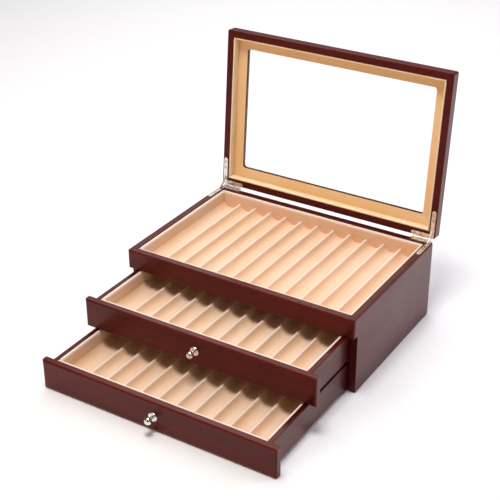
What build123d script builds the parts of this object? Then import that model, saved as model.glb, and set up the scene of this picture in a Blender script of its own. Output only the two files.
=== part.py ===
from build123d import *
from math import atan2, cos, degrees, hypot, radians, sin, sqrt
import os

# Chest for pens: a cabinet with a padded tray on top, two drawers below and a glazed lid.
# All sizes are in millimetres. X runs to the right, Y to the back and Z upwards.
# The origin is on the surface that the chest stands on, under the middle of the cabinet.

# ---- cabinet ---------------------------------------------------------------
cabinet_width = 345.0
cabinet_depth = 233.5
rim_height = 114.0
felt_thickness = 1.0
felt_inset = 4.0
wall_thickness = 10.2
corner_round = 2.5
rim_round = 2.0
inner_rim_round = 0.8
rail_height = 27.8
rail_edge_round = 1.0
bottom_thickness = 4.0
shelf_thickness = 3.6
floor_thickness = 2.6
housing_depth = 3.0
panel_setback = 0.4

# ---- velvet boards and pen beds ---------------------------------------------
liner_thickness = 4.0
liner_below_rim = 0.8
liner_round = 1.2
pen_pitch = 26.1
flute_depth = 9.5
ridge_radius = 2.2
flute_wall_height = 7.0
tray_bed_under_flute = 1.0
drawer_bed_under_flute = 8.0

# ---- drawers ----------------------------------------------------------------
front_thickness = 9.4
front_round = 2.5
front_back_round = 0.6
front_gap = 0.9
closing_gap = 0.3
drawer_side_thickness = 6.6
drawer_side_gap = 1.0
drawer_side_length = 211.0
drawer_side_round = 1.2
side_below_front = 0.4
lift_clearance = 0.1
drawer_bottom_thickness = 2.5
drawer_bottom_lift = 1.2
groove_depth = 2.5
upper_pull = 95.0
lower_pull = 186.0

# ---- knobs ------------------------------------------------------------------
knob_base_radius = 6.6
knob_base_rim = 0.8
knob_base_height = 3.0
knob_neck_radius = 2.3
knob_ball_radius = 5.0
knob_ball_reach = 10.6
knob_screw_radius = 1.4
knob_screw_reach = 7.0
knob_screw_clearance = 0.3
knob_screw_head_radius = 3.0
knob_screw_head_height = 2.0
screw_slot_width = 0.8
screw_slot_depth = 0.9

# ---- lid --------------------------------------------------------------------
lid_gap = 0.6
lid_thickness = 19.4
lid_wall = 9.5
lid_top_round = 5.0
lid_rim_round = 1.2
glass_border = 27.1
glass_corner = 4.0
lip_thickness = 3.4
glass_thickness = 2.0
glass_clearance = 0.3
frame_thickness = 1.2
lid_liner_thickness = 3.0
lid_liner_below_rim = 0.4
lid_open_angle = 95.0

# ---- quadrant hinges --------------------------------------------------------
leaf_thickness = 2.2
leaf_width = 6.0
leaf_margin = 1.8
side_leg_length = 41.0
back_leg_length = 35.5
axis_behind = 2.6
barrel_radius = 2.4
barrel_length = 28.0
barrel_inset = 4.5
barrel_pieces = 3
barrel_gap = 0.2
hinge_pin_radius = 0.9
hinge_pin_clearance = 0.05
hinge_screw_head_radius = 2.1
hinge_screw_head_depth = 1.2
hinge_screw_radius = 1.1
hinge_screw_length = 8.0
first_side_screw = 6.5
side_screw_pitch = 8.4
first_back_screw = 5.2
back_screw_pitch = 10.0

# ---- stay arms --------------------------------------------------------------
stay_reach = 13.6
stay_thickness = 1.2
stay_width = 3.4
stay_slot_clearance = 0.3
stay_rivet_radius = 0.6
stay_rivet_clearance = 0.06
stay_rivet_length = 5.0
stud_radius = 0.8
stud_length = 3.6
stud_clearance = 0.25
mortise_width = 4.4
mortise_clearance = 0.6
stay_slot_reach = 4.1
stay_slot_back = 2.4

# ---- heights and faces that follow from the sizes ----------------------------
half_width = cabinet_width / 2
half_depth = cabinet_depth / 2
base_height = felt_thickness
rail_bottom = rim_height - rail_height
setback = front_thickness + closing_gap
inner_x = half_width - wall_thickness
inner_y = half_depth - wall_thickness
bay_front = -half_depth + setback
bottom_top = base_height + bottom_thickness
front_height = (rail_bottom - base_height - 2 * front_gap) / 2
lower_front_bottom = base_height
upper_front_bottom = lower_front_bottom + front_height + front_gap
side_height = front_height - side_below_front - bottom_thickness - lift_clearance
lower_side_bottom = bottom_top + lift_clearance
lower_side_top = lower_side_bottom + side_height
upper_side_top = upper_front_bottom + front_height - side_below_front
upper_side_bottom = upper_side_top - side_height
shelf_top = upper_side_bottom - lift_clearance
shelf_bottom = shelf_top - shelf_thickness
floor_top = rail_bottom + floor_thickness
drawer_outer_x = inner_x - drawer_side_gap
drawer_inner_x = drawer_outer_x - drawer_side_thickness

# The hinge axis lies behind the cabinet, in the middle of the gap between the two rims.
axis_y = half_depth + axis_behind
axis_z = rim_height + lid_gap / 2
lid_bottom = rim_height + lid_gap
lid_top = lid_bottom + lid_thickness
leg_x = half_width - leaf_margin - leaf_width / 2
stay_y = axis_y - stay_reach
lid_pivot_z = lid_bottom + leaf_thickness / 2
box_pivot_z = rim_height - leaf_thickness / 2

# The arm always points at the middle of the slot in the box leaf, at the same distance
# from the hinge axis as its rivet, so it turns by half of the lid's angle.
pivot_radius = hypot(stay_reach, lid_pivot_z - axis_z)
pivot_rise = degrees(atan2(lid_pivot_z - axis_z, stay_reach))
open_span = 2 * pivot_radius * sin(radians(lid_open_angle / 2 + pivot_rise))
stay_tilt = lid_open_angle / 2
stud_drop = leaf_thickness / 2 + stud_radius + stud_clearance
stud_distance = open_span + stud_drop / cos(radians(stay_tilt))
mortise_depth = stud_distance + stay_width / 2 - (lid_pivot_z - rim_height) + mortise_clearance


def block(x0, x1, y0, y1, z0, z1):
    """A board between six faces."""
    centre = Pos((x0 + x1) / 2, (y0 + y1) / 2, (z0 + z1) / 2)
    return centre * Box(x1 - x0, y1 - y0, z1 - z0)


def prism(points, z0, z1):
    """A straight prism over a closed outline in plan."""
    outline = make_face(Polyline(*points, close=True))
    return extrude(Pos(0, 0, z0) * outline, amount=z1 - z0)


def rod(start, end, radius):
    """A round rod between two points."""
    axis = Vector(*end) - Vector(*start)
    plane = Plane(origin=start, z_dir=axis.normalized())
    return extrude(plane * Circle(radius), amount=axis.length)


def edges_at(shape, axis, places, tolerance=0.01):
    """Edges along an axis whose middle lies at the given coordinates (None = any)."""
    found = ShapeList()
    for edge in shape.edges().filter_by(axis):
        middle = edge.center()
        pairs = zip((middle.X, middle.Y, middle.Z), places)
        if all(p is None or abs(c - p) < tolerance for c, p in pairs):
            found.append(edge)
    return found


def mitre_wedge(side, z0, z1, mitred_front=True):
    """The region of one cabinet side between the 45 degree mitres of its corners."""
    reach = 3 * wall_thickness
    over = 1.0
    front = -half_depth + reach if mitred_front else -half_depth - over
    points = [
        (side * (half_width + over), -half_depth - over),
        (side * (half_width - reach), front),
        (side * (half_width - reach), half_depth - reach),
        (side * (half_width + over), half_depth + over),
    ]
    return prism(points, z0, z1)


def end_wedge(end, z0, z1):
    """The region of the front or the back between the mitres of its corners."""
    reach = 3 * wall_thickness
    over = 1.0
    points = [
        (-half_width - over, end * (half_depth + over)),
        (half_width + over, end * (half_depth + over)),
        (half_width - reach, end * (half_depth - reach)),
        (-half_width + reach, end * (half_depth - reach)),
    ]
    return prism(points, z0, z1)


# ---- hinge pieces, drawn for the right side and mirrored for the left ---------
def leaf_outline(z0, z1):
    """The L-shaped plate: a long leg along the side rim, a short one along the back rim."""
    end_radius = leaf_width / 2
    leg_front = half_depth - side_leg_length
    leg_left = half_width - back_leg_length
    outer_x = leg_x + end_radius
    inner_leg_x = leg_x - end_radius
    back_y = half_depth - barrel_gap
    inner_back_y = half_depth - leaf_width
    side_leg = block(inner_leg_x, outer_x, leg_front + end_radius, back_y, z0, z1)
    back_leg = block(leg_left + end_radius, outer_x, inner_back_y, back_y, z0, z1)
    side_end = rod((leg_x, leg_front + end_radius, z0), (leg_x, leg_front + end_radius, z1), end_radius)
    round_y = inner_back_y + end_radius
    back_end = rod((leg_left + end_radius, round_y, z0), (leg_left + end_radius, round_y, z1), end_radius)
    plate = side_leg + back_leg + side_end
    plate += back_end & block(leg_left, leg_left + leaf_width, inner_back_y, back_y, z0, z1)
    return plate


def barrel_span(index):
    """Start and end of one knuckle along the hinge axis."""
    piece = barrel_length / barrel_pieces
    start = half_width - barrel_inset - barrel_length + index * piece
    return start + barrel_gap / 2, start + piece - barrel_gap / 2


def knuckle(index, z0, z1):
    """One knuckle with the tongue that joins it to its leaf."""
    x0, x1 = barrel_span(index)
    tube = rod((x0, axis_y, axis_z), (x1, axis_y, axis_z), barrel_radius)
    tongue = block(x0, x1, half_depth - leaf_width / 2, axis_y, z0, z1)
    return tube + tongue


def screw_places():
    """Plan positions of the screws in one leaf."""
    first_y = half_depth - side_leg_length + first_side_screw
    first_x = half_width - back_leg_length + first_back_screw
    back_y = half_depth - leaf_width / 2
    side = [(leg_x, first_y + i * side_screw_pitch) for i in range(2)]
    back = [(first_x + i * back_screw_pitch, back_y) for i in range(2)]
    return side + back


def countersunk_screw(x, y, z, down):
    """A countersunk wood screw, head flush with the leaf; down is -1 or +1 along Z."""
    profile = Polyline(
        (0, 0),
        (hinge_screw_head_radius, 0),
        (hinge_screw_radius, hinge_screw_head_depth),
        (hinge_screw_radius, hinge_screw_length),
        (0, hinge_screw_length),
        close=True,
    )
    body = revolve(make_face(Plane.XZ * profile), Axis.Z)
    turned = body if down > 0 else Rot(180, 0, 0) * body
    return Pos(x, y, z) * turned


def leaf_screws(z, down):
    """The four screws of one leaf."""
    return [countersunk_screw(x, y, z, down) for x, y in screw_places()]


def stay_slot(z0, z1, front, back, width):
    """A round-ended slot in the side leg, running front to back."""
    y0 = stay_y - front + width / 2
    y1 = stay_y + back - width / 2
    slot = block(leg_x - width / 2, leg_x + width / 2, y0, y1, z0, z1)
    slot += rod((leg_x, y0, z0), (leg_x, y0, z1), width / 2)
    return slot + rod((leg_x, y1, z0), (leg_x, y1, z1), width / 2)


slot_width = stay_thickness + 2 * stay_slot_clearance


def box_leaf():
    """The hinge leaf let into the cabinet's rim, with two knuckles and the arm's slot."""
    z0 = rim_height - leaf_thickness
    leaf = leaf_outline(z0, rim_height)
    leaf += knuckle(0, z0, rim_height) + knuckle(2, z0, rim_height)
    over = 1.0
    leaf -= stay_slot(z0 - over, rim_height + over, stay_slot_reach, stay_slot_reach, slot_width)
    for screw in leaf_screws(rim_height, -1):
        leaf -= screw
    return leaf - hinge_pin()


def lid_leaf():
    """The hinge leaf let into the lid's rim, with one knuckle and the arm's slot."""
    z1 = lid_bottom + leaf_thickness
    leaf = leaf_outline(lid_bottom, z1) + knuckle(1, lid_bottom, z1)
    over = 1.0
    leaf -= stay_slot(lid_bottom - over, z1 + over, stay_slot_back, stay_slot_reach, slot_width)
    for screw in leaf_screws(lid_bottom, 1):
        leaf -= screw
    leaf -= stay_rivet()
    x0, x1 = barrel_span(1)
    bore = hinge_pin_radius + hinge_pin_clearance
    return leaf - rod((x0 - over, axis_y, axis_z), (x1 + over, axis_y, axis_z), bore)


def hinge_pin():
    """The pin through the three knuckles."""
    x0 = barrel_span(0)[0]
    x1 = barrel_span(barrel_pieces - 1)[1]
    return rod((x0, axis_y, axis_z), (x1, axis_y, axis_z), hinge_pin_radius)


def stay_rivet():
    """The cross pin that the stay arm turns on, inside the lid leaf's thickness."""
    half = stay_rivet_length / 2
    start = (leg_x - half, stay_y, lid_pivot_z)
    end = (leg_x + half, stay_y, lid_pivot_z)
    return rod(start, end, stay_rivet_radius)


def stay_stud():
    """The stud across the arm's lower end, which catches under the box leaf."""
    half = stud_length / 2
    z = lid_pivot_z - stud_distance
    return rod((leg_x - half, stay_y, z), (leg_x + half, stay_y, z), stud_radius)


def stay_arm():
    """The flat arm as it hangs with the lid closed: an eye at the top, a stud hole below."""
    half = stay_thickness / 2
    end_radius = stay_width / 2
    low = lid_pivot_z - stud_distance
    arm = block(leg_x - half, leg_x + half, stay_y - end_radius, stay_y + end_radius, low, lid_pivot_z)
    for z in (low, lid_pivot_z):
        arm += rod((leg_x - half, stay_y, z), (leg_x + half, stay_y, z), end_radius)
    eye = stay_rivet_radius + stay_rivet_clearance
    arm -= rod((leg_x - half, stay_y, lid_pivot_z), (leg_x + half, stay_y, lid_pivot_z), eye)
    return arm - stay_stud()


def box_mortise():
    """The pocket in the side panel that the stay arm drops into as the lid closes."""
    bulge = max(
        (stud_distance - 2 * pivot_radius * sin(radians(a / 2 + pivot_rise))) * sin(radians(a / 2))
        for a in range(0, round(lid_open_angle) + 1, 5)
    )
    end_radius = stay_width / 2
    front = stay_y - bulge - end_radius - mortise_clearance
    back = stay_y + end_radius + mortise_clearance
    half = mortise_width / 2
    z1 = rim_height - leaf_thickness
    return block(leg_x - half, leg_x + half, front, back, rim_height - mortise_depth, z1)


def lid_mortise():
    """The small pocket over the arm's eye in the lid's rail."""
    z0 = lid_bottom + leaf_thickness
    z1 = lid_pivot_z + stay_width / 2 + mortise_clearance
    return stay_slot(z0, z1, stay_slot_back, stay_slot_reach, slot_width)


def both_sides(shape):
    """The right-hand shape and its mirror image on the left."""
    return [shape, mirror(shape, about=Plane.YZ)]


# ---- cabinet pieces -----------------------------------------------------------
def bottom_panel():
    """The board under the lower drawer, housed in rebates of the sides and the back."""
    x = inner_x + housing_depth
    return block(-x, x, bay_front + panel_setback, inner_y + housing_depth, base_height, bottom_top)


def drawer_shelf():
    """The thin board between the drawers, housed in the sides and the back."""
    x = inner_x + housing_depth
    return block(-x, x, bay_front + panel_setback, inner_y + housing_depth, shelf_bottom, shelf_top)


def tray_floor():
    """The floor of the top tray: behind the rail, housed in the sides and the back."""
    x = inner_x + housing_depth
    return block(-x, x, -inner_y, inner_y + housing_depth, rail_bottom, floor_top)


def cabinet_shell():
    """Sides, back and front rail in one, before the mitres part them."""
    shell = block(-half_width, half_width, -half_depth, half_depth, base_height, rim_height)
    shell = fillet(shell.edges().filter_by(Axis.Z), corner_round)
    shell = fillet(shell.faces().sort_by(Axis.Z)[-1].edges(), rim_round)
    over = 1.0
    shell -= block(-inner_x, inner_x, -inner_y, inner_y, base_height - over, rim_height + over)
    wide = half_width + over
    shell -= block(-wide, wide, -half_depth - over, bay_front, base_height - over, rail_bottom)
    shell -= block(-inner_x, inner_x, bay_front - over, -inner_y, base_height - over, rail_bottom)
    rim = shell.faces().sort_by(Axis.Z)[-1]
    shell = fillet(rim.inner_wires()[0].edges(), inner_rim_round)
    shell = fillet(edges_at(shell, Axis.X, (None, -half_depth, rail_bottom)), rail_edge_round)
    for board in (bottom_panel(), drawer_shelf(), tray_floor()):
        shell -= board
    return shell


def cabinet_woodwork():
    """The four mitred boards of the cabinet, with the hinge pockets cut."""
    shell = cabinet_shell()
    z0 = rim_height - leaf_thickness
    pocket = leaf_outline(z0, rim_height) + box_mortise()
    pocket += block(*barrel_span(0), half_depth - leaf_width, half_depth, z0, rim_height)
    pocket += block(*barrel_span(2), half_depth - leaf_width, half_depth, z0, rim_height)
    for screw in leaf_screws(rim_height, -1):
        pocket += screw
    for cut in both_sides(pocket):
        shell -= cut
    over = 1.0
    boards = {}
    for name, side in (("left_side_panel", -1), ("right_side_panel", 1)):
        upper = shell & mitre_wedge(side, rail_bottom, rim_height + over)
        lower = shell & mitre_wedge(side, 0, rail_bottom, mitred_front=False)
        boards[name] = upper + lower
    boards["back_panel"] = shell & end_wedge(1, 0, rim_height + over)
    boards["front_rail"] = shell & end_wedge(-1, rail_bottom, rim_height + over)
    return boards


def felt_base_pad():
    """The felt sheet under the bottom."""
    x = half_width - felt_inset
    front = bay_front + panel_setback + felt_inset
    return block(-x, x, front, half_depth - felt_inset, 0, felt_thickness)


def soft_edged_board(x0, x1, y0, y1, z0, z1, open_end):
    """A board wrapped in velvet: the long edges of its free top or bottom are round."""
    board = block(x0, x1, y0, y1, z0, z1)
    along = Axis.X if x1 - x0 > y1 - y0 else Axis.Y
    return fillet(edges_at(board, along, (None, None, open_end)), liner_round)


def liner_boards(x, y0, y1, z0, z1, thickness, open_end):
    """Four velvet-covered boards round the inside of a tray, soft at its open end."""
    inner = (y0 + thickness, y1 - thickness)
    spans = {
        "front_liner": (-x, x, y0, inner[0]),
        "back_liner": (-x, x, inner[1], y1),
        "left_liner": (-x, -x + thickness, *inner),
        "right_liner": (x - thickness, x, *inner),
    }
    return {name: soft_edged_board(*span, z0, z1, open_end) for name, span in spans.items()}


def arc(centre, radius, start, end):
    """The short arc between two points of a circle."""
    centre, start, end = Vector(*centre), Vector(*start), Vector(*end)
    middle = centre + ((start + end) / 2 - centre).normalized() * radius
    return ThreePointArc(start, middle, end)


def pen_bed(x, y0, y1, z0, under_flute):
    """A bed with U-shaped flutes and rounded ridges, running front to back.

    It has as many flutes as its width takes. Ridge and flute arcs touch without a kink:
    the sum of their radii follows from pitch and depth. The two outer flutes have a flat
    stretch that takes up the spare width.
    """
    flutes = int(2 * x / pen_pitch)
    half_pitch = pen_pitch / 2
    trough = z0 + under_flute
    crest = trough + flute_depth
    radii = (flute_depth**2 + half_pitch**2) / (2 * flute_depth)
    flute_radius = radii - ridge_radius
    ridge_z = crest - ridge_radius
    flute_z = trough + flute_radius
    join_x = ridge_radius * half_pitch / radii
    join_z = ridge_z + ridge_radius * (flute_z - ridge_z) / radii
    wall_run = sqrt(flute_radius**2 - (flute_radius - flute_wall_height) ** 2)
    wall_z = trough + flute_wall_height
    low = -x + wall_run
    lines = [arc((low, flute_z), flute_radius, (-x, wall_z), (low, trough))]
    for i in range(flutes - 1):
        ridge = (i - (flutes - 2) / 2) * pen_pitch
        left = (ridge - join_x, join_z)
        right = (ridge + join_x, join_z)
        next_low = ridge + half_pitch
        if ridge - half_pitch > low + 0.01:
            lines.append(Line((low, trough), (ridge - half_pitch, trough)))
        lines.append(arc((ridge - half_pitch, flute_z), flute_radius, (ridge - half_pitch, trough), left))
        lines.append(arc((ridge, ridge_z), ridge_radius, left, right))
        lines.append(arc((next_low, flute_z), flute_radius, right, (next_low, trough)))
        low = next_low
    last = x - wall_run
    lines.append(Line((low, trough), (last, trough)))
    lines.append(arc((last, flute_z), flute_radius, (last, trough), (x, wall_z)))
    lines.append(Polyline((x, wall_z), (x, z0), (-x, z0), (-x, wall_z)))
    section = make_face(lines)
    back_plane = Plane(origin=(0, y1, 0), x_dir=(1, 0, 0), z_dir=(0, -1, 0))
    return extrude(back_plane * section, amount=y1 - y0)


def top_tray():
    """Velvet boards and pen bed of the top tray."""
    board_top = rim_height - liner_below_rim
    boards = liner_boards(inner_x, -inner_y, inner_y, floor_top, board_top, liner_thickness, board_top)
    pieces = {f"top_{name}": board for name, board in boards.items()}
    x = inner_x - liner_thickness
    y = inner_y - liner_thickness
    pieces["top_pen_bed"] = pen_bed(x, -y, y, floor_top, tray_bed_under_flute)
    return pieces


def box_hinges():
    """Leaves, pins and screws on the cabinet's side of the two hinges."""
    right, left = both_sides(box_leaf())
    screws = []
    for screw in leaf_screws(rim_height, -1):
        screws += both_sides(screw)
    return {
        "right_box_hinge_leaf": right,
        "left_box_hinge_leaf": left,
        "box_hinge_screws": screws,
        "hinge_pins": both_sides(hinge_pin()),
    }


# ---- drawers, drawn closed and then pulled out ----------------------------------
def drawer_front(bottom):
    """The overlay front: a board over the full width with rounded edges all round."""
    top = bottom + front_height
    front = block(-half_width, half_width, -half_depth, -half_depth + front_thickness, bottom, top)
    faces = front.faces().sort_by(Axis.Y)
    front = fillet(faces[0].edges(), front_round)
    back_face = front.faces().sort_by(Axis.Y)[-1]
    return fillet(back_face.edges(), front_back_round)


def knob_profile_face():
    """Half outline of the knob: rosette, neck and ball, with the axis along local Y."""
    neck_join = knob_ball_reach - sqrt(knob_ball_radius**2 - knob_neck_radius**2)
    bend = knob_base_height - knob_base_rim
    flat = knob_base_radius - bend
    tip = knob_ball_reach + knob_ball_radius
    lines = [
        Polyline((0, 0), (knob_base_radius, 0), (knob_base_radius, knob_base_rim)),
        arc((flat, knob_base_rim), bend, (knob_base_radius, knob_base_rim), (flat, knob_base_height)),
        Polyline((flat, knob_base_height), (knob_neck_radius, knob_base_height), (knob_neck_radius, neck_join)),
        ThreePointArc((knob_neck_radius, neck_join), (knob_ball_radius, knob_ball_reach), (0, tip)),
        Line((0, tip), (0, 0)),
    ]
    return make_face(lines)


def knob(z):
    """A turned knob that stands out of the drawer's front, drilled for its screw."""
    turned = revolve(knob_profile_face(), Axis.Y)
    placed = Pos(0, -half_depth, z) * Rot(180, 0, 0) * turned
    return placed - knob_screw(z)


def knob_screw(z):
    """The machine screw that comes through the front from inside the drawer."""
    inside = -half_depth + front_thickness
    shoulder = inside - knob_screw_head_height
    tip = -half_depth - knob_screw_reach
    shank = rod((0, shoulder, z), (0, tip, z), knob_screw_radius)
    head = rod((0, inside, z), (0, shoulder, z), knob_screw_head_radius)
    slot_x = knob_screw_head_radius + 1.0
    half_slot = screw_slot_width / 2
    return shank + head - block(-slot_x, slot_x, inside - screw_slot_depth, inside, z - half_slot, z + half_slot)


def drawer(prefix, front_bottom, side_bottom):
    """All pieces of one drawer, closed."""
    side_top = side_bottom + side_height
    back_plane = -half_depth + front_thickness
    back_end = back_plane + drawer_side_length
    middle_z = front_bottom + front_height / 2
    inside = -half_depth + front_thickness
    front = drawer_front(front_bottom)
    head_seat = rod((0, inside, middle_z), (0, inside - knob_screw_head_height, middle_z), knob_screw_head_radius)
    bore = knob_screw_radius + knob_screw_clearance
    front -= head_seat + rod((0, -half_depth, middle_z), (0, inside, middle_z), bore)
    sides = {}
    for name, side in (("left", -1), ("right", 1)):
        xs = sorted((side * drawer_inner_x, side * drawer_outer_x))
        board = block(*xs, back_plane - housing_depth, back_end, side_bottom, side_top)
        outer = edges_at(board, Axis.Y, (side * drawer_outer_x, None, side_top))
        sides[name] = fillet(outer, drawer_side_round)
        front -= sides[name]
    back_y = back_end - drawer_side_thickness
    back = block(-drawer_inner_x, drawer_inner_x, back_y, back_end, side_bottom, side_top)
    low = side_bottom + drawer_bottom_lift
    high = low + drawer_bottom_thickness
    x = drawer_inner_x + groove_depth
    bottom = block(-x, x, back_plane - groove_depth, back_y + groove_depth, low, high)
    liners = liner_boards(drawer_inner_x, back_plane, back_y, high, side_top, liner_thickness, side_top)
    bed_x = drawer_inner_x - liner_thickness
    bed_front = back_plane + liner_thickness
    bed_back = back_y - liner_thickness
    pieces = {
        "drawer_front": front - bottom,
        "drawer_left_side": sides["left"] - bottom,
        "drawer_right_side": sides["right"] - bottom,
        "drawer_back": back - bottom,
        "drawer_bottom": bottom,
        "pen_bed": pen_bed(bed_x, bed_front, bed_back, high, drawer_bed_under_flute),
        "knob": knob(middle_z),
        "knob_screw": knob_screw(middle_z),
    }
    for name, board in liners.items():
        pieces[f"drawer_{name}"] = board
    return {f"{prefix}_{name}": piece for name, piece in pieces.items()}


# ---- lid, drawn closed and then opened ---------------------------------------------
def lid_shell():
    """The lid's four rails in one: a rim, and a lip that holds the glass from above."""
    shell = block(-half_width, half_width, -half_depth, half_depth, lid_bottom, lid_top)
    shell = fillet(shell.edges().filter_by(Axis.Z), corner_round)
    shell = fillet(shell.faces().sort_by(Axis.Z)[-1].edges(), min(lid_top_round, lid_thickness / 3))
    shell = fillet(shell.faces().sort_by(Axis.Z)[0].edges(), lid_rim_round)
    x = half_width - lid_wall
    y = half_depth - lid_wall
    over = 1.0
    shell -= block(-x, x, -y, y, lid_bottom - over, lid_top - lip_thickness)
    return shell - glass_hole(lid_top - lip_thickness - over, lid_top + over)


def glass_hole(z0, z1):
    """The opening that the glass shows through, with round corners."""
    width = cabinet_width - 2 * glass_border
    depth = cabinet_depth - 2 * glass_border
    return extrude(Pos(0, 0, z0) * RectangleRounded(width, depth, glass_corner), amount=z1 - z0)


def lid_woodwork():
    """The lid's four mitred rails, with the hinge pockets cut."""
    shell = lid_shell()
    z1 = lid_bottom + leaf_thickness
    pocket = leaf_outline(lid_bottom, z1) + lid_mortise()
    pocket += block(*barrel_span(1), half_depth - leaf_width, half_depth, lid_bottom, z1)
    for screw in leaf_screws(lid_bottom, 1):
        pocket += screw
    for cut in both_sides(pocket):
        shell -= cut
    over = 1.0
    z = (lid_bottom - over, lid_top + over)
    return {
        "lid_left_rail": shell & mitre_wedge(-1, *z),
        "lid_right_rail": shell & mitre_wedge(1, *z),
        "lid_back_rail": shell & end_wedge(1, *z),
        "lid_front_rail": shell & end_wedge(-1, *z),
    }


def lid():
    """All pieces of the lid, closed."""
    pieces = lid_woodwork()
    x = half_width - lid_wall
    y = half_depth - lid_wall
    glass_top = lid_top - lip_thickness
    glass_bottom = glass_top - glass_thickness
    frame_bottom = glass_bottom - frame_thickness
    glass_x = x - glass_clearance
    glass_y = y - glass_clearance
    pieces["glass_pane"] = block(-glass_x, glass_x, -glass_y, glass_y, glass_bottom, glass_top)
    frame = block(-x, x, -y, y, frame_bottom, glass_bottom)
    pieces["lid_velvet_frame"] = frame - glass_hole(frame_bottom - 1.0, glass_bottom + 1.0)
    board_bottom = lid_bottom + lid_liner_below_rim
    liners = liner_boards(x, -y, y, board_bottom, frame_bottom, lid_liner_thickness, board_bottom)
    for name, board in liners.items():
        pieces[f"lid_{name}"] = board
    right, left = both_sides(lid_leaf())
    pieces["right_lid_hinge_leaf"] = right
    pieces["left_lid_hinge_leaf"] = left
    screws = []
    for screw in leaf_screws(lid_bottom, 1):
        screws += both_sides(screw)
    pieces["lid_hinge_screws"] = screws
    pieces["stay_rivets"] = both_sides(stay_rivet())
    return pieces


def opened(piece):
    """Turn a piece of the closed lid, or a group of them, to where it stands open."""
    if isinstance(piece, list):
        return [opened(shape) for shape in piece]
    return piece.rotate(Axis((0, axis_y, axis_z), (1, 0, 0)), -lid_open_angle)


def stays():
    """The two stay arms and their studs, turned to where they stand with the lid open."""
    angle = radians(lid_open_angle)
    y = -stay_reach
    z = lid_pivot_z - axis_z
    open_y = axis_y + y * cos(angle) + z * sin(angle)
    open_z = axis_z - y * sin(angle) + z * cos(angle)
    pieces = {}
    for name, shape in (("stay_arm", stay_arm()), ("stay_stud", stay_stud())):
        moved = Pos(0, open_y, open_z) * Rot(-stay_tilt, 0, 0) * Pos(0, -stay_y, -lid_pivot_z) * shape
        pieces[f"right_{name}"], pieces[f"left_{name}"] = both_sides(moved)
    return pieces


def all_pieces():
    """Every piece of the chest in its stored pose: lid open and both drawers out."""
    pieces = cabinet_woodwork()
    pieces["bottom_panel"] = bottom_panel()
    pieces["drawer_shelf"] = drawer_shelf()
    pieces["tray_floor"] = tray_floor()
    pieces["felt_base_pad"] = felt_base_pad()
    pieces.update(top_tray())
    pieces.update(box_hinges())
    for name, piece in lid().items():
        pieces[name] = opened(piece)
    pieces.update(stays())
    drawers = (
        ("upper", upper_front_bottom, upper_side_bottom, upper_pull),
        ("lower", lower_front_bottom, lower_side_bottom, lower_pull),
    )
    for prefix, front_bottom, side_bottom, pull in drawers:
        for name, piece in drawer(prefix, front_bottom, side_bottom).items():
            pieces[name] = Pos(0, -pull, 0) * piece
    return pieces


os.makedirs("parts", exist_ok=True)
for node, piece in all_pieces().items():
    shape = Compound(children=piece) if isinstance(piece, list) else piece
    export_step(shape, f"parts/{node}.step")
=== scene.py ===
import math

import bmesh
import bpy
import numpy as np
from mathutils import Matrix, Vector


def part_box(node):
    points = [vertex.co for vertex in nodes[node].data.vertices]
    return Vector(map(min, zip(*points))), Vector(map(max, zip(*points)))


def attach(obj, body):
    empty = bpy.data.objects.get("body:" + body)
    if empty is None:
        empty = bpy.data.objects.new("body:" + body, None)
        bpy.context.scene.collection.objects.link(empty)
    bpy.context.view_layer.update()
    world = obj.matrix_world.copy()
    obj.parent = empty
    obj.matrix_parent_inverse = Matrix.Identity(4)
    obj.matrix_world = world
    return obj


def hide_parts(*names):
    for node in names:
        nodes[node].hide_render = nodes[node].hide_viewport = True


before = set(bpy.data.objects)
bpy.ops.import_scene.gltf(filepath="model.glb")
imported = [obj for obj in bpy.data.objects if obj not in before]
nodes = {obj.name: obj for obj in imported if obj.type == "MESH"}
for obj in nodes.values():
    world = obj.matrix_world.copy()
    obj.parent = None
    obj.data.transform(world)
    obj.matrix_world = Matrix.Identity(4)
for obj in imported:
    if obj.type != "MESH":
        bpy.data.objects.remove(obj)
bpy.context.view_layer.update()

# ---- cabinet boards, front rail and drawer boxes -------------------------------------
# Straight-grained mahogany boards, mitred at the corners, with rounded arrises. They are
# stained a deep red brown and sprayed with a satin lacquer that only half fills the pores.

mahogany_deep = (0.033, 0.0021, 0.0016, 1)
mahogany_warm = (0.086, 0.0058, 0.0036, 1)
mahogany_pore = (0.010, 0.0020, 0.0018, 1)


def feed(tree, socket, value):
    """Joins a socket to another one, or gives it a plain value."""
    if isinstance(value, bpy.types.NodeSocket):
        tree.links.new(value, socket)
    else:
        socket.default_value = value


def add_step(tree, kind, joins=None, **settings):
    """One shader node: its settings, then each input as a value or as a joined socket."""
    step = tree.nodes.new(kind)
    for name, value in settings.items():
        setattr(step, name, value)
    for name, value in (joins or {}).items():
        feed(tree, step.inputs[name], value)
    return step


def new_group(name, sockets_in, sockets_out):
    """An empty node group with named inputs and outputs, each given as (name, kind)."""
    tree = bpy.data.node_groups.new(name, "ShaderNodeTree")
    for label, kind in sockets_in:
        tree.interface.new_socket(name=label, in_out="INPUT", socket_type="NodeSocket" + kind)
    for label, kind in sockets_out:
        tree.interface.new_socket(name=label, in_out="OUTPUT", socket_type="NodeSocket" + kind)
    given = tree.nodes.new("NodeGroupInput").outputs
    wanted = tree.nodes.new("NodeGroupOutput").inputs
    return tree, given, wanted


def scaled_noise(tree, place, scale, detail=3.0, rough=0.55, distortion=0.0):
    """Noise on a place stretched by a different scale along each axis."""
    moved = add_step(tree, "ShaderNodeMapping", {"Vector": place, "Scale": scale})
    joins = {"Vector": moved.outputs[0], "Scale": 1.0, "Detail": detail}
    joins.update({"Roughness": rough, "Distortion": distortion})
    return add_step(tree, "ShaderNodeTexNoise", joins).outputs["Fac"]


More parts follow.
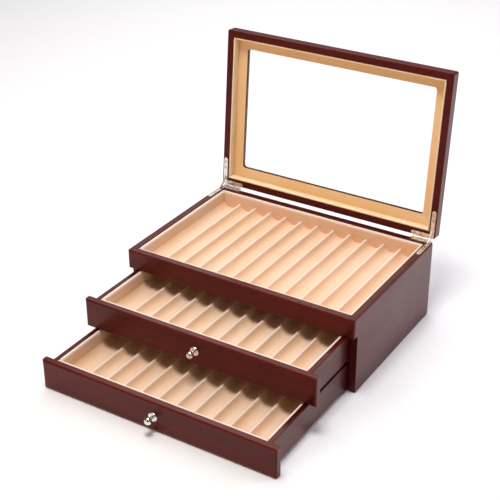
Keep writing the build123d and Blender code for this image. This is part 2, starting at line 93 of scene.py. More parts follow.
def spread(tree, value, low, high, to_low=0.0, to_high=1.0):
    """Stretches a value from low..high to to_low..to_high, smoothly and with no overshoot."""
    joins = {"Value": value, "From Min": low, "From Max": high}
    joins.update({"To Min": to_low, "To Max": to_high})
    return add_step(tree, "ShaderNodeMapRange", joins, interpolation_type="SMOOTHSTEP").outputs[0]


def sums(tree, operation, a, b):
    """One step of arithmetic on two values."""
    step = add_step(tree, "ShaderNodeMath", operation=operation)
    feed(tree, step.inputs[0], a)
    feed(tree, step.inputs[1], b)
    return step.outputs[0]


def blend_colours(tree, share, a, b):
    """Colour a where share is 0, colour b where it is 1. The mix node's colour sockets are
    its inputs 6 and 7 and its output 2."""
    step = add_step(tree, "ShaderNodeMix", data_type="RGBA")
    feed(tree, step.inputs[0], share)
    feed(tree, step.inputs[6], a)
    feed(tree, step.inputs[7], b)
    return step.outputs[2]


def add_relief(tree, shader, height, strength, distance):
    """Fine relief from a height, on the shader's own Normal."""
    joins = {"Height": height, "Strength": strength, "Distance": distance}
    tree.links.new(add_step(tree, "ShaderNodeBump", joins).outputs[0], shader.inputs["Normal"])


def make_mahogany_grain():
    """Grain that runs along local X: broad ribbons, fine fibres and short dark pores."""
    tree, given, wanted = new_group(
        "mahogany_grain",
        [("Place", "Vector"), ("Deep", "Color"), ("Warm", "Color"), ("Pore", "Color")],
        [("Colour", "Color"), ("Roughness", "Float"), ("Height", "Float")],
    )
    ribbons = scaled_noise(tree, given["Place"], (3.0, 52.0, 52.0), 2.0, 0.5, 0.6)
    fibres = scaled_noise(tree, given["Place"], (28.0, 900.0, 900.0), 4.0, 0.6)
    pores = scaled_noise(tree, given["Place"], (95.0, 2300.0, 2300.0), 1.0, 0.5)
    smears = scaled_noise(tree, given["Place"], (9.0, 14.0, 14.0), 3.0, 0.5)
    figure = sums(tree, "MULTIPLY", spread(tree, ribbons, 0.32, 0.68), 0.55)
    thread = sums(tree, "MULTIPLY", spread(tree, fibres, 0.25, 0.75), 0.45)
    body = blend_colours(tree, sums(tree, "ADD", figure, thread), given["Deep"], given["Warm"])
    pore_mask = spread(tree, pores, 0.60, 0.74)
    shade = sums(tree, "MULTIPLY", pore_mask, 0.75)
    tree.links.new(blend_colours(tree, shade, body, given["Pore"]), wanted["Colour"])
    rough_pores = sums(tree, "MULTIPLY", pore_mask, 0.10)
    dull = sums(tree, "ADD", spread(tree, smears, 0.3, 0.7, 0.27, 0.37), rough_pores)
    tree.links.new(dull, wanted["Roughness"])
    raised = sums(tree, "MULTIPLY", thread, 0.25)
    sunk = sums(tree, "SUBTRACT", raised, sums(tree, "MULTIPLY", pore_mask, 0.8))
    tree.links.new(sunk, wanted["Height"])
    return tree


mahogany_grain = make_mahogany_grain()


def new_material(name):
    """A material with its Principled shader, its tree and the Object coordinates."""
    material = bpy.data.materials.new(name)
    material.use_nodes = True
    tree = material.node_tree
    place = add_step(tree, "ShaderNodeTexCoord").outputs["Object"]
    return material, tree, tree.nodes["Principled BSDF"], place


def lacquered_wood(name, turn, shift=(0, 0, 0)):
    """Lacquered mahogany whose grain is turned to run along the board."""
    material, tree, shader, place = new_material(name)
    joins = {"Vector": place, "Rotation": turn, "Location": shift}
    along = add_step(tree, "ShaderNodeMapping", joins)
    grain = add_step(tree, "ShaderNodeGroup", node_tree=mahogany_grain)
    grain.inputs["Deep"].default_value = mahogany_deep
    grain.inputs["Warm"].default_value = mahogany_warm
    grain.inputs["Pore"].default_value = mahogany_pore
    tree.links.new(along.outputs[0], grain.inputs["Place"])
    tree.links.new(grain.outputs["Colour"], shader.inputs["Base Color"])
    tree.links.new(grain.outputs["Roughness"], shader.inputs["Roughness"])
    add_relief(tree, shader, grain.outputs["Height"], 0.22, 0.00025)
    shader.inputs["Specular Tint"].default_value = (0.85, 0.23, 0.21, 1)
    shader.inputs["Coat Weight"].default_value = 0.09
    shader.inputs["Coat Roughness"].default_value = 0.16
    return material


def dress(material, *names):
    """Gives carried-over CAD nodes their finish."""
    for name in names:
        slots = nodes[name].data.materials
        slots.clear()
        slots.append(material)


quarter = math.pi / 2
across = lacquered_wood("mahogany_across", (0, 0, 0))
front_board = lacquered_wood("mahogany_front", (0, 0, 0), shift=(0.4, 0.1, 0.3))
from_front = lacquered_wood("mahogany_front_to_back", (0, 0, quarter))
dress(across, "back_panel", "front_rail", "upper_drawer_back", "lower_drawer_back")
dress(front_board, "upper_drawer_front", "lower_drawer_front")
dress(from_front, "left_side_panel", "right_side_panel")
dress(from_front, "upper_drawer_left_side", "upper_drawer_right_side")
dress(from_front, "lower_drawer_left_side", "lower_drawer_right_side")

# ---- bottoms, shelf and tray floor ---------------------------------------------------
# Thin boards of fibreboard, wiped with the same stain and left matt, since they only show
# from below and inside the bays. They sit in housings in the boards round them.

stain_deep = (0.030, 0.009, 0.006, 1)
stain_warm = (0.068, 0.021, 0.012, 1)
stain_fleck = (0.016, 0.006, 0.004, 1)


def stained_board():
    """Matt stained board: fine chips with a few darker flecks."""
    material, tree, shader, place = new_material("stained_board")
    chips = scaled_noise(tree, place, (420.0, 420.0, 420.0), 5.0, 0.65)
    flecks = spread(tree, scaled_noise(tree, place, (1500.0, 1500.0, 1500.0), 1.0), 0.62, 0.72)
    body = blend_colours(tree, spread(tree, chips, 0.3, 0.7), stain_deep, stain_warm)
    tone = blend_colours(tree, flecks, body, stain_fleck)
    tree.links.new(tone, shader.inputs["Base Color"])
    tree.links.new(spread(tree, chips, 0.3, 0.7, 0.55, 0.75), shader.inputs["Roughness"])
    add_relief(tree, shader, chips, 0.25, 0.0002)
    return material


stain = stained_board()
dress(stain, "bottom_panel", "drawer_shelf", "tray_floor")
dress(stain, "upper_drawer_bottom", "lower_drawer_bottom")

# ---- fluted pen beds -----------------------------------------------------------------
# Each bed is a board shaped into U-shaped flutes with rounded ridges between them, covered
# with short cream velvet that is glued down into every flute and tucked in at both ends.

pen_pitch = 0.0261
flute_depth = 0.0095
ridge_radius = 0.0022
flute_wall_height = 0.0070
flute_arc = (flute_depth**2 + (pen_pitch / 2) ** 2) / (2 * flute_depth) - ridge_radius
bed_clearance = 0.00005
bed_lift = 0.00002
tray_bed_under = 0.001
drawer_bed_under = 0.008
points_across = 433
points_along = 61
base_every = 16
cover_swell = 0.00009
end_dip = 0.0002
end_dip_length = 0.0013
# Painted light on the beds, as a share from 0 to 1 at each point: its level on flat ground, how
# much each unit of slope adds, its cap on the slopes, and how fast the painted highlight on the
# ridges fades.
painted_light_level = 0.30
painted_light_per_slope = 0.34
slope_light_cap = 0.70
ridge_highlight_fade = 0.0008
# Two velvet tones: the pale one stands for lit pile and the deep one for shaded pile, as painted
# light, and between them lie the velvet's own paler and deeper patches.
velvet_pale_and_lit = (0.84, 0.745, 0.650, 1)
velvet_deep_and_shaded = (0.76, 0.460, 0.252, 1)
velvet_sheen = 0.22


def make_velvet_pile():
    """Short pile: pale where the mesh's per-point lit share paints light on it and deep where it
    paints shade, with brushed patches, faint streaks along the flutes and a fine speckle."""
    tree, given, wanted = new_group(
        "velvet_pile",
        [("Place", "Vector"), ("Painted Light", "Float"), ("Light", "Color"), ("Deep And Shaded", "Color")],
        [("Colour", "Color"), ("Roughness", "Float"), ("Height", "Float")],
    )
    patches = scaled_noise(tree, given["Place"], (26.0, 14.0, 26.0), 3.0, 0.5, 0.4)
    streaks = scaled_noise(tree, given["Place"], (420.0, 20.0, 420.0), 2.0, 0.5)
    pile = scaled_noise(tree, given["Place"], (1900.0, 1900.0, 1900.0), 2.0, 0.6)
    brushed = sums(tree, "MULTIPLY", spread(tree, patches, 0.3, 0.7), 0.12)
    combed = sums(tree, "MULTIPLY", spread(tree, streaks, 0.3, 0.7), 0.08)
    tips = sums(tree, "MULTIPLY", spread(tree, pile, 0.3, 0.7), 0.16)
    # Painted highlight and painted shade: the lit share from the mesh sets most of the mix.
    painted_lit_share = sums(tree, "MULTIPLY", given["Painted Light"], 0.64)
    share = sums(tree, "ADD", sums(tree, "ADD", painted_lit_share, brushed), sums(tree, "ADD", combed, tips))
    tree.links.new(blend_colours(tree, share, given["Deep And Shaded"], given["Light"]), wanted["Colour"])
    tree.links.new(spread(tree, pile, 0.3, 0.7, 0.95, 0.80), wanted["Roughness"])
    tree.links.new(pile, wanted["Height"])
    return tree


velvet_pile = make_velvet_pile()


def velvet(name, light, dark):
    """Velvet of one colour, with the soft rim of light that pile shows."""
    material, tree, shader, place = new_material(name)
    pile = add_step(tree, "ShaderNodeGroup", node_tree=velvet_pile)
    pile.inputs["Light"].default_value = light
    pile.inputs["Deep And Shaded"].default_value = dark
    tree.links.new(place, pile.inputs["Place"])
    # The per-point lit share that paints light and shade into the velvet's colour.
    painted_light = add_step(tree, "ShaderNodeAttribute", attribute_name="painted_light").outputs["Fac"]
    tree.links.new(painted_light, pile.inputs["Painted Light"])
    tree.links.new(pile.outputs["Colour"], shader.inputs["Base Color"])
    tree.links.new(pile.outputs["Roughness"], shader.inputs["Roughness"])
    add_relief(tree, shader, pile.outputs["Height"], 0.30, 0.0003)
    shader.inputs["Sheen Weight"].default_value = velvet_sheen
    shader.inputs["Sheen Roughness"].default_value = 0.35
    shader.inputs["Sheen Tint"].default_value = (1.0, 0.88, 0.74, 1)
    shader.inputs["Specular IOR Level"].default_value = 0.2
    return material


cream_velvet = velvet("cream_velvet", velvet_pale_and_lit, velvet_deep_and_shaded)


def flute_height(x, half):
    """Height over the trough at each x. Near a ridge it is the top of a circle of the ridge's
    radius, then a hollow circle that touches it; the outer flutes run flat to a last hollow
    circle that climbs the side."""
    flutes = int(2 * half / pen_pitch + 1e-6)
    to_ridge = x - (flutes / 2) * pen_pitch
    to_ridge = to_ridge - np.round(to_ridge / pen_pitch) * pen_pitch
    outer = np.abs(x) > (flutes / 2 - 1) * pen_pitch
    beyond = np.abs(x) - (flutes / 2 - 1) * pen_pitch
    gap = np.where(outer, beyond, np.abs(to_ridge))
    half_pitch = pen_pitch / 2
    both = ridge_radius + flute_arc
    join = ridge_radius * half_pitch / both
    ridge = flute_depth - ridge_radius + np.sqrt(np.maximum(ridge_radius**2 - gap**2, 0))
    hollow = flute_arc - np.sqrt(np.maximum(flute_arc**2 - (half_pitch - gap) ** 2, 0))
    run = math.sqrt(flute_arc**2 - (flute_arc - flute_wall_height) ** 2)
    to_wall = half - np.abs(x)
    climb = flute_arc - np.sqrt(np.maximum(flute_arc**2 - (run - to_wall) ** 2, 0))
    height = np.where(gap < join, ridge, hollow)
    height = np.where(outer & (gap > half_pitch), 0.0, height)
    return np.where(to_wall < run, climb, height)


def closed_tube(rings):
    """Faces of a tube through rings of points (rings x around x 3), with a cap at each end."""
    count, around = rings.shape[:2]
    index = np.arange(count * around).reshape(count, around)
    ahead = np.roll(index, -1, axis=1)
    quads = np.stack([index[:-1], ahead[:-1], ahead[1:], index[1:]], axis=-1).reshape(-1, 4)
    return rings.reshape(-1, 3), quads.tolist() + [index[0].tolist(), index[-1][::-1].tolist()]


def new_piece(name, points, faces, material, body, crease=40, painted_light=None):
    """A mesh piece with outward faces, smooth up to the crease angle, riding on a body. The
    optional per-point values from 0 to 1 are painted light: how lit the velvet's colour is
    painted there."""
    mesh = bpy.data.meshes.new(name)
    mesh.from_pydata(points.tolist(), [], faces)
    shell = bmesh.new()
    shell.from_mesh(mesh)
    bmesh.ops.recalc_face_normals(shell, faces=shell.faces)
    shell.to_mesh(mesh)
    shell.free()
    mesh.shade_smooth()
    mesh.set_sharp_from_angle(angle=math.radians(crease))
    mesh.materials.append(material)
    # Painted light stored on the points, read by the velvet's colour.
    if painted_light is not None:
        painted_lit_values = mesh.attributes.new("painted_light", "FLOAT", "POINT")
        painted_lit_values.data.foreach_set("value", painted_light.astype(np.float32).ravel())
    piece = bpy.data.objects.new(name, mesh)
    bpy.context.scene.collection.objects.link(piece)
    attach(piece, body)
    return piece


def fluted_bed(name, node, body, under):
    """A bed in the box of its CAD node: at each place along Y the section is the fluted line
    on top and a flat base, with a board of the thickness under below the troughs. The cover
    swells by a tenth of a millimetre and dips a little at the ends.
    Light is painted into its colour: a painted highlight on slopes that face left and on the
    ridges, painted shade on slopes that face right."""
    low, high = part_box(node)
    half = (high.x - low.x) / 2 - bed_clearance
    x = np.linspace(-half, half, points_across)
    length = high.y - low.y
    y = low.y + length * (0.5 - 0.5 * np.cos(np.linspace(0, np.pi, points_along)))
    ends = np.exp(-(np.minimum(y - low.y, high.y - y) / end_dip_length) ** 2)
    top = low.z + under + flute_height(x, half)
    grid_x, grid_y = x[None, :], y[:, None]
    ripple = np.sin(grid_x * 61 + 3 * np.sin(grid_y * 17))
    swell = cover_swell * ripple * np.sin(grid_y * 43 + grid_x * 29)
    z = top[None, :] + swell - end_dip * ends[:, None]
    upper = np.stack(np.broadcast_arrays(grid_x, grid_y, z), axis=-1)
    returning = x[None, ::-base_every]
    base = np.stack(np.broadcast_arrays(returning, grid_y, low.z + bed_lift), axis=-1)
    points, faces = closed_tube(np.concatenate([upper, base], axis=1))
    # Painted light: slopes that face left are painted lit and those that face right shaded, with a
    # painted highlight along each ridge.
    slope_lit_share = np.clip(painted_light_level + painted_light_per_slope * np.gradient(top, x), 0, slope_light_cap)
    ridge_highlight = np.clip((top - top.min() - flute_depth) / ridge_highlight_fade + 1, 0, 1)
    painted_light = np.concatenate([np.maximum(slope_lit_share, ridge_highlight), np.zeros(base.shape[1])])
    painted_light = np.broadcast_to(painted_light, (len(y), len(painted_light)))
    bed = new_piece(name, points, faces, cream_velvet, body, 50, painted_light)
    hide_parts(node)


fluted_bed("velvet_tray_bed", "top_pen_bed", "cabinet", tray_bed_under)
fluted_bed("velvet_upper_bed", "upper_pen_bed", "upper_drawer", drawer_bed_under)
fluted_bed("velvet_lower_bed", "lower_pen_bed", "lower_drawer", drawer_bed_under)

# ---- velvet-covered boards round the tray and the drawers ----------------------------
# Thin boards wrapped in the same velvet and glued to the walls, so that their top edges are
# soft and full. The front and back boards run through, the side boards fit between them.

velvet_roll = (0.0020, 0.0038)
board_bend = 0.0007
board_clearance = 0.00006
board_bow = 0.00010
board_stations = 41
corner_steps = 9
# Painted highlight along the lit edge of each wrapped board: its peak, how fast it fades down the
# board, and the low share left on the walls, which take the shaded tone.
edge_highlight_peak = 1.35
edge_highlight_fade = 0.0032
painted_light_below = 0.10


def soft_box(low, high, bend, roll=None, inner=0, lit_edge=1, bow=board_bow):
    """A bar along its longer level side: its section is a rectangle with quarter circles at
    the corners, drawn in at both ends along a quarter circle, and its sides bow a little. Its
    top corner on the inner side may be a quarter of an ellipse, roll = (sideways, upward). A
    painted highlight fades over the last four millimetres up to the lit edge, top or bottom,
    and the rest of the bar gets painted shade."""
    low, high = np.array(low, float), np.array(high, float)
    size = high - low
    along = 0 if size[0] > size[1] else 1
    side = 1 - along
    middle = (low + high) / 2
    half_side, half_up = size[side] / 2, size[2] / 2
    bend = min(bend, 0.98 * half_side)
    corners = np.arange(4)[:, None] * quarter
    turn = (corners + np.linspace(0, quarter, corner_steps)[None, :]).ravel()
    sign_side = np.repeat([1, -1, -1, 1], corner_steps)
    sign_up = np.repeat([1, 1, -1, -1], corner_steps)
    rolled = (sign_side == inner) & (sign_up == 1)
    bend_side = np.where(rolled, roll[0] if roll else bend, bend)
    bend_up = np.where(rolled, roll[1] if roll else bend, bend)
    section_side = sign_side * (half_side - bend_side) + bend_side * np.cos(turn)
    section_up = sign_up * (half_up - bend_up) + bend_up * np.sin(turn)
    run = size[along] / 2
    spacing = np.cos(np.linspace(0, np.pi, board_stations))
    reach = -np.sign(spacing) * np.abs(spacing) ** 0.5 * run
    past_bend = np.maximum(np.abs(reach) - (run - bend), 0)
    inset = bend - np.sqrt(np.maximum(bend**2 - past_bend**2, 0))
    shrink_side = (half_side - 0.9 * inset) / half_side
    shrink_up = (half_up - 0.9 * inset) / half_up
    wave = bow * (np.sin(reach * 71) * np.sin(reach * 23 + 1) - 1)
    drawn_in = section_side[None, :] * shrink_side[:, None]
    rings = np.zeros((board_stations, len(turn), 3))
    rings[:, :, along] = middle[along] + reach[:, None]
    rings[:, :, side] = middle[side] + drawn_in * (1 + wave[:, None] / half_side)
    rings[:, :, 2] = middle[2] + section_up[None, :] * shrink_up[:, None] + wave[:, None] * 0.6
    # Painted highlight: full at the lit edge and fading down the sides to painted shade.
    depth = half_up - lit_edge * section_up
    painted_light = np.clip(edge_highlight_peak - depth / edge_highlight_fade, painted_light_below, 1)
    return *closed_tube(rings), np.broadcast_to(painted_light, (board_stations, len(turn)))


def velvet_board(name, node, body, inner):
    """A wrapped board in place of its CAD node, a hair inside it, with its full inner edge."""
    low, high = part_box(node)
    low, high = np.array(low) + board_clearance, np.array(high) - board_clearance
    points, faces, painted_light = soft_box(low, high, board_bend, velvet_roll, inner)
    board = new_piece(name, points, faces, cream_velvet, body, 60, painted_light)
    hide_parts(node)


for side, inner in (("front", 1), ("back", -1), ("left", 1), ("right", -1)):
    velvet_board(f"velvet_tray_{side}_board", f"top_{side}_liner", "cabinet", inner)
    velvet_board(f"velvet_upper_{side}_board", f"upper_drawer_{side}_liner", "upper_drawer", inner)
    velvet_board(f"velvet_lower_{side}_board", f"lower_drawer_{side}_liner", "lower_drawer", inner)

# ---- lid rails -----------------------------------------------------------------------
# Four mitred mahogany rails with a lip at the top that holds the glass. The lid stands open,
# so the grain is turned with it. The lid is drawn lying shut and swung up about the hinge.

hinge_y = 0.11935
hinge_z = 0.1143
swing = math.radians(95)
lid_lean = 0.087
upright = (0, quarter - lid_lean, quarter)
lid_across = lacquered_wood("mahogany_lid_across", (0, 0, 0), shift=(0.7, 0.2, 0.9))
lid_upright = lacquered_wood("mahogany_lid_upright", upright, shift=(0.2, 0.5, 0.1))
dress(lid_across, "lid_front_rail", "lid_back_rail")
dress(lid_upright, "lid_left_rail", "lid_right_rail")


def swung_open(points):
    """Points of the shut lid, turned back about the hinge pins to where the lid stands."""
    y, z = points[:, 1] - hinge_y, points[:, 2] - hinge_z
    up = points.copy()
    up[:, 1] = hinge_y + y * math.cos(swing) + z * math.sin(swing)
    up[:, 2] = hinge_z - y * math.sin(swing) + z * math.cos(swing)
    return up


# ---- velvet lining of the lid --------------------------------------------------------
# A flat velvet-covered frame lies under the glass and hides its edge, and four thin boards
# stand round it against the rails. The lining is a warmer tan than the beds.

lid_half_x = 0.1630
lid_half_y = 0.10725
lining_low = 0.1150
frame_low = 0.1274
frame_high = 0.1286
opening_x = 0.1460
opening_y = 0.0902
opening_corner = 0.004
lining_thickness = 0.003
lining_bend = 0.0013
frame_clearance = 0.0001
# Two tan tones: the pale one stands for lit pile and the deep one for shaded pile, as painted
# light, and between them lie the velvet's own paler and deeper patches.
tan_pale_and_lit = (0.90, 0.76, 0.54, 1)
tan_deep_and_shaded = (0.82, 0.530, 0.240, 1)
tan_velvet = velvet("tan_velvet", tan_pale_and_lit, tan_deep_and_shaded)


def velvet_frame():
    """A flat ring round the glass: at each place round it the section runs from the outer
    rectangle to the rounded opening, flat with a half-round inner edge."""
    corner = np.linspace(0, quarter, 7)
    signs = [(1, 1), (-1, 1), (-1, -1), (1, -1)]
    outer_x, outer_y = lid_half_x - frame_clearance, lid_half_y - frame_clearance
    inner, outer = [], []
    for number, (sx, sy) in enumerate(signs):
        angle = number * quarter + corner
        inner.append(np.stack([
            sx * (opening_x - opening_corner) + opening_corner * np.cos(angle),
            sy * (opening_y - opening_corner) + opening_corner * np.sin(angle),
        ], axis=-1))
        outer.append(np.repeat([[sx * outer_x, sy * outer_y]], len(corner), axis=0))
    inner, outer = np.concatenate(inner), np.concatenate(outer)
    half = (frame_high - frame_low) / 2
    middle = (frame_high + frame_low) / 2
    bead = np.linspace(-quarter, quarter, 7)
    reach = (outer - inner) / np.linalg.norm(outer - inner, axis=1, keepdims=True)
    rings = []
    for height, set_back in zip(half * np.sin(bead), half * (1 - np.cos(bead))):
        rings.append(np.c_[inner + reach * set_back, np.full(len(inner), middle + height)])
    rings.append(np.c_[outer, np.full(len(outer), frame_high)])
    rings.append(np.c_[outer, np.full(len(outer), frame_low)])
    rings = np.array(rings)
    count, around = rings.shape[:2]
    index = np.arange(count * around).reshape(count, around)
    ahead = np.roll(index, -1, axis=1)
    below, below_ahead = np.roll(index, -1, axis=0), np.roll(ahead, -1, axis=0)
    quads = np.stack([index, ahead, below_ahead, below], axis=-1).reshape(-1, 4)
    return rings.reshape(-1, 3), quads.tolist()


points, faces = velvet_frame()
points = swung_open(points)
ring = new_piece("velvet_glass_surround", points, faces, tan_velvet, "lid", 50)
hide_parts("lid_velvet_frame")

inside_x = lid_half_x - lining_thickness
inside_y = lid_half_y - lining_thickness
lining_boards = {
    "front": ((-lid_half_x, -lid_half_y), (lid_half_x, -inside_y)),
    "back": ((-lid_half_x, inside_y), (lid_half_x, lid_half_y)),
    "left": ((-lid_half_x, -inside_y), (-inside_x, inside_y)),
    "right": ((inside_x, -inside_y), (lid_half_x, inside_y)),
}
for side, ((x0, y0), (x1, y1)) in lining_boards.items():
    low = (x0 + board_clearance, y0 + board_clearance, lining_low)
    high = (x1 - board_clearance, y1 - board_clearance, frame_low - board_clearance)
    # A painted highlight along each board's lower edge in the shut lid, the free edge at the rim
    # that faces forward once the lid stands open.
    points, faces, painted_light = soft_box(low, high, lining_bend, lit_edge=-1)
    points = swung_open(points)
    name = f"velvet_lid_{side}_board"
    board = new_piece(name, points, faces, tan_velvet, "lid", 60, painted_light)
    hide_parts(f"lid_{side}_liner")

# ---- glass ---------------------------------------------------------------------------
# A clear float-glass pane, held between the lip of the lid and the velvet frame.


def clear_glass():
    """Clear glass with a faint trace of wiping, so its gloss is not perfectly even."""
    material, tree, shader, place = new_material("clear_glass")
    wiped = scaled_noise(tree, place, (30.0, 30.0, 9.0), 4.0, 0.6, 1.5)
    tree.links.new(spread(tree, wiped, 0.35, 0.75, 0.0, 0.035), shader.inputs["Roughness"])
    shader.inputs["Base Color"].default_value = (0.97, 0.985, 0.98, 1)
    shader.inputs["Transmission Weight"].default_value = 1.0
    shader.inputs["IOR"].default_value = 1.45
    return material


dress(clear_glass(), "glass_pane")

# ---- knobs ---------------------------------------------------------------------------
# Small turned brass knobs, chromed and polished: a domed rosette, a short neck and a ball.
# Each is drawn onto the drawer's front by a slotted screw from the inside.


def make_polish_marks():
    """Fine straight scratches and faint finger marks on polished metal."""
    tree, given, wanted = new_group(
        "polish_marks",
        [("Place", "Vector"), ("Clean", "Float"), ("Worn", "Float")],
        [("Roughness", "Float"), ("Height", "Float"), ("Tarnish", "Float")],
    )
    lines = scaled_noise(tree, given["Place"], (300.0, 5200.0, 5200.0), 2.0, 0.6)
    marks = scaled_noise(tree, given["Place"], (160.0, 160.0, 160.0), 4.0, 0.6)
    share = spread(tree, marks, 0.4, 0.7)
    step = sums(tree, "MULTIPLY", share, sums(tree, "SUBTRACT", given["Worn"], given["Clean"]))
    tree.links.new(sums(tree, "ADD", given["Clean"], step), wanted["Roughness"])
    tree.links.new(lines, wanted["Height"])
    tree.links.new(share, wanted["Tarnish"])
    return tree


polish_marks = make_polish_marks()


def plated_metal(name, bright, dim, clean, worn, relief_strength):
    """Plated metal whose tone and gloss follow the polish marks."""
    material, tree, shader, place = new_material(name)
    marks = add_step(tree, "ShaderNodeGroup", node_tree=polish_marks)
    marks.inputs["Clean"].default_value = clean
    marks.inputs["Worn"].default_value = worn
    tree.links.new(place, marks.inputs["Place"])
    tone = blend_colours(tree, marks.outputs["Tarnish"], bright, dim)
    tree.links.new(tone, shader.inputs["Base Color"])
    tree.links.new(marks.outputs["Roughness"], shader.inputs["Roughness"])
    add_relief(tree, shader, marks.outputs["Height"], relief_strength, 0.0001)
    shader.inputs["Metallic"].default_value = 1.0
    return material


chrome_bright = (0.86, 0.85, 0.83, 1)
chrome_dim = (0.72, 0.71, 0.69, 1)
chrome = plated_metal("polished_chrome", chrome_bright, chrome_dim, 0.05, 0.13, 0.05)
dress(chrome, "upper_knob", "lower_knob")

# ---- hinges, stay arms and their screws ----------------------------------------------
# Steel quadrant hinges, nickel plated: L-shaped leaves let into both rims, knuckles on a pin,
# and a flat stay arm on each. Countersunk cross-head screws hold the leaves.

nickel_bright = (0.78, 0.76, 0.72, 1)
nickel_dim = (0.62, 0.60, 0.57, 1)
steel_bright = (0.66, 0.65, 0.63, 1)
steel_dim = (0.46, 0.45, 0.44, 1)
nickel = plated_metal("nickel_plate", nickel_bright, nickel_dim, 0.20, 0.34, 0.18)
steel = plated_metal("screw_steel", steel_bright, steel_dim, 0.24, 0.40, 0.15)
for side in ("left", "right"):
    dress(nickel, f"{side}_box_hinge_leaf", f"{side}_lid_hinge_leaf")
    dress(nickel, f"{side}_stay_arm", f"{side}_stay_stud")
dress(steel, "hinge_pins", "stay_rivets", "upper_knob_screw", "lower_knob_screw")

head_radius = 0.0021
head_depth = 0.0012
head_edge = 0.00005
shank_radius = 0.0011
screw_length = 0.0080
point_length = 0.0015
point_radius = 0.0002
cross_reach = 0.00135
cross_width = 0.00060
cross_depth = 0.0008
cross_edge = 0.00004
side_leg_x = 0.1677
side_leg_screws_y = (0.08225, 0.09065)
back_leg_screws_x = (0.1422, 0.1522)
back_leg_y = 0.11375
box_screw_head = 0.1140
lid_screw_head = 0.1146


def cross_head_screw(x, y, z, up, twist):
    """One screw as rings round its axis. At radius r and angle a its face sinks by the depth
    where the nearer of |r cos a| and |r sin a| is under half the cross's width and r is under
    the cross's reach; a cone, the shank and a short point follow."""
    angle = np.linspace(0, 2 * np.pi, 73)[:-1]
    radius = np.linspace(0.02, 0.98, 25) * head_radius
    nearer = radius[:, None] * np.minimum(np.abs(np.cos(angle)), np.abs(np.sin(angle)))[None, :]
    in_arm = 1 / (1 + np.exp((nearer - cross_width / 2) / cross_edge))
    in_reach = 1 / (1 + np.exp((radius[:, None] - cross_reach) / cross_edge))
    depth = cross_depth * in_arm * in_reach
    below = np.array([
        (head_radius, head_edge), (shank_radius, head_depth),
        (shank_radius, screw_length - point_length), (point_radius, screw_length),
    ])
    radius = np.concatenate([radius, below[:, 0]])
    depth = np.concatenate([depth, np.repeat(below[:, 1:], len(angle), axis=1)])
    rings = np.stack([
        x + radius[:, None] * np.cos(angle + twist)[None, :],
        y + radius[:, None] * np.sin(angle + twist)[None, :],
        z - up * depth,
    ], axis=-1)
    return closed_tube(rings)


def hinge_screws(head, up):
    """The four screws of each hinge leaf, every one turned home to another angle."""
    places = [(x, y) for x in (-side_leg_x, side_leg_x) for y in side_leg_screws_y]
    places += [(s * x, back_leg_y) for s in (-1, 1) for x in back_leg_screws_x]
    points, faces = [], []
    for number, (x, y) in enumerate(places):
        ring_points, ring_faces = cross_head_screw(x, y, head, up, 0.4 + 0.7 * number)
        faces += [[i + len(ring_points) * number for i in face] for face in ring_faces]
        points.append(ring_points)
    return np.concatenate(points), faces


points, faces = hinge_screws(box_screw_head, 1)
screws = new_piece("cross_head_box_screws", points, faces, steel, "cabinet", 35)
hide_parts("box_hinge_screws")
points, faces = hinge_screws(lid_screw_head, -1)
screws = new_piece("cross_head_lid_screws", swung_open(points), faces, steel, "lid", 35)
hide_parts("lid_hinge_screws")

# ---- felt under the bottom -----------------------------------------------------------
# A thin sheet of dark felt glued under the bottom board, cut a little short of its edges.

felt_inset = 0.0001
felt_bend = 0.0004
felt_bow = 0.00002
felt_deep = (0.018, 0.010, 0.008, 1)
felt_pale = (0.050, 0.030, 0.024, 1)


def dark_felt():
    """Pressed wool felt: matted fibres in two close tones."""
    material, tree, shader, place = new_material("dark_felt")
    fibres = scaled_noise(tree, place, (900.0, 900.0, 900.0), 5.0, 0.7, 1.2)
    tone = blend_colours(tree, spread(tree, fibres, 0.3, 0.7), felt_deep, felt_pale)
    tree.links.new(tone, shader.inputs["Base Color"])
    tree.links.new(spread(tree, fibres, 0.3, 0.7, 0.98, 0.86), shader.inputs["Roughness"])
    add_relief(tree, shader, fibres, 0.5, 0.0004)
    shader.inputs["Sheen Weight"].default_value = 0.3
    return material


low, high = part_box("felt_base_pad")
inset = felt_inset * np.array([1, 1, 0.0])
felt_low, felt_high = np.array(low) + inset, np.array(high) - inset
points, faces, _ = soft_box(felt_low, felt_high, felt_bend, bow=felt_bow)
felt = new_piece("felt_sheet", points, faces, dark_felt(), "cabinet", 60)
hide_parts("felt_base_pad")

# ---- floor, light and camera ---------------------------------------------------------
# A plain pale floor, a soft light overhead, broad ones behind at both sides and over the
# floor at the back, and a weak warm one that stands for what the wood throws back.


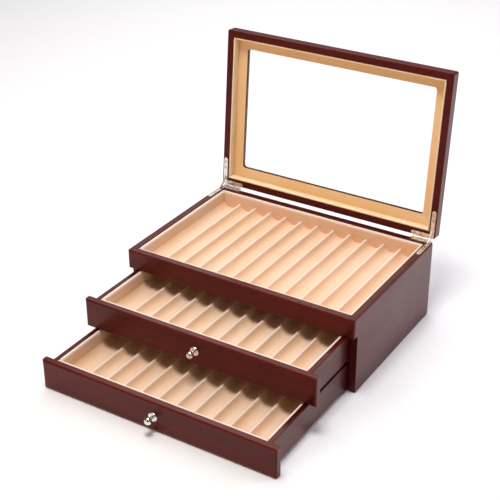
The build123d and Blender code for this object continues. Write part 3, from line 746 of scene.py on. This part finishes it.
def pale_floor():
    """A level floor with a matt, barely mottled surface."""
    mesh = bpy.data.meshes.new("floor")
    reach = 6
    corners = [(-reach, -reach, 0), (reach, -reach, 0), (reach, reach, 0), (-reach, reach, 0)]
    mesh.from_pydata(corners, [], [(0, 1, 2, 3)])
    floor = bpy.data.objects.new("floor", mesh)
    bpy.context.scene.collection.objects.link(floor)
    material, tree, shader, place = new_material("pale_paper")
    mottle = scaled_noise(tree, place, (40.0, 40.0, 40.0), 4.0)
    tone = blend_colours(tree, mottle, (0.90, 0.90, 0.90, 1), (0.93, 0.93, 0.93, 1))
    tree.links.new(tone, shader.inputs["Base Color"])
    tree.links.new(spread(tree, mottle, 0.3, 0.7, 0.75, 0.85), shader.inputs["Roughness"])
    mesh.materials.append(material)


def soft_light(name, place, target, width, height, power, colour=(1.0, 1.0, 1.0)):
    """A rectangular light that faces a point."""
    lamp = bpy.data.lights.new(name, "AREA")
    lamp.shape = "RECTANGLE"
    lamp.size = width
    lamp.size_y = height
    lamp.energy = power
    lamp.color = colour
    stand = bpy.data.objects.new(name, lamp)
    stand.location = place
    stand.rotation_euler = (Vector(target) - Vector(place)).to_track_quat("-Z", "Y").to_euler()
    bpy.context.scene.collection.objects.link(stand)


pale_floor()
soft_light("key_light", (0.1, -0.45, 1.8), (0, -0.05, 0.05), 0.5, 0.5, 20)
soft_light("left_light", (-0.6, 0.2, 1.7), (0, -0.05, 0.05), 1.3, 1.3, 13)
soft_light("right_light", (1.5, 1.3, 1.2), (0.7, 0.6, 0.0), 1.2, 1.2, 19, (1.0, 0.87, 1.0))
soft_light("floor_light", (-0.9, 1.7, 1.6), (-0.9, 1.7, 0.0), 1.6, 1.0, 16)
soft_light("bounce_light", (-0.6, -1.5, 0.7), (0, -0.2, 0.05), 0.8, 0.8, 4.5, (1.0, 0.36, 0.08))

world = bpy.data.worlds.new("studio")
world.use_nodes = True
background = world.node_tree.nodes["Background"]
background.inputs["Color"].default_value = (1.0, 1.0, 1.0, 1)
background.inputs["Strength"].default_value = 0.17
bpy.context.scene.world = world
bpy.context.scene.view_settings.view_transform = "Standard"

camera_place = Vector((0.69097, -1.19538, 0.87592))
camera_right = Vector((0.85064471, 0.52573579, -0.00233504))
camera_up = Vector((-0.25394938, 0.41477294, 0.87376949))
camera_back = camera_right.cross(camera_up)
lens = bpy.data.cameras.new("camera")
lens.lens = 83.48
lens.sensor_width = 36.0
camera = bpy.data.objects.new("camera", lens)
turned = Matrix((camera_right, camera_up, camera_back)).transposed().to_4x4()
camera.matrix_world = Matrix.Translation(camera_place) @ turned
bpy.context.scene.collection.objects.link(camera)
bpy.context.scene.camera = camera
